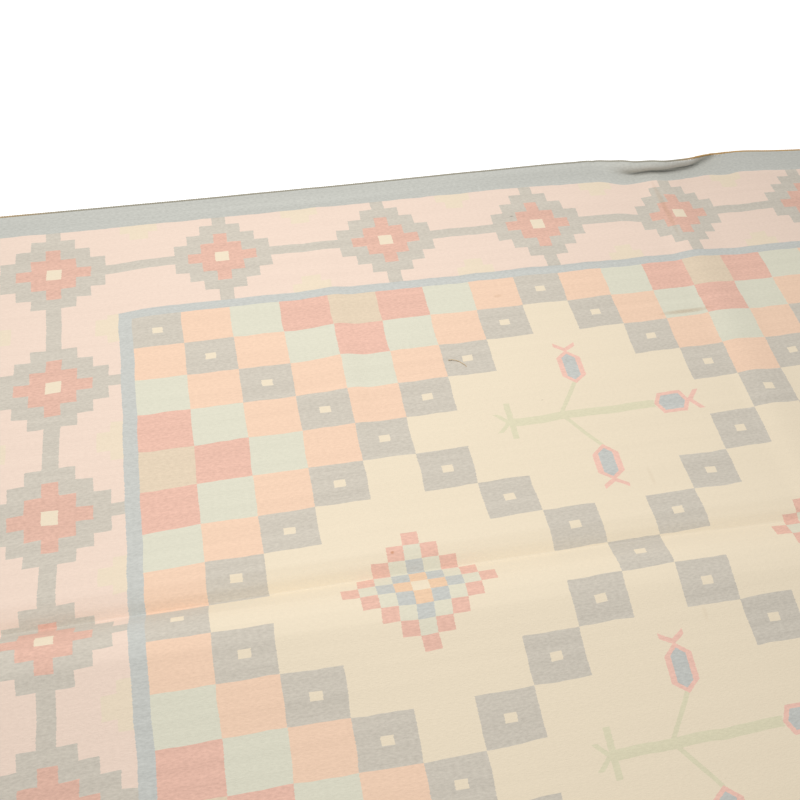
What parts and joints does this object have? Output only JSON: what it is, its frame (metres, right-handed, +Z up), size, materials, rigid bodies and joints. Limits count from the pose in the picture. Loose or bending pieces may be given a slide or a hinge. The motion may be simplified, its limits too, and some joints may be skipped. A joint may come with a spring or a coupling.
{
  "type": "flat-woven cotton rug",
  "caption": "Rectangular flat-woven cotton rug with a checked lattice field and stepped medallion border, lying with its fold creases.",
  "frame": {"origin": "bottom centre of the bounding box, on the surface that the rug lies on", "axes": "+X along the wefts and the long side, +Y towards the far woven end with the turned-up ripple, +Z up"},
  "size_m": [2.448, 1.5334, 0.0441],
  "materials": {
    "woven_cotton": "matt weft-faced flat weave in faded pastel cotton",
    "warp_cord": "matt plaited cotton warp ends, ochre"
  },
  "bodies": {
    "root": {"rug": "woven_cotton", "end_cord_far": "warp_cord", "end_cord_near": "warp_cord"}
  },
  "joints": []
}
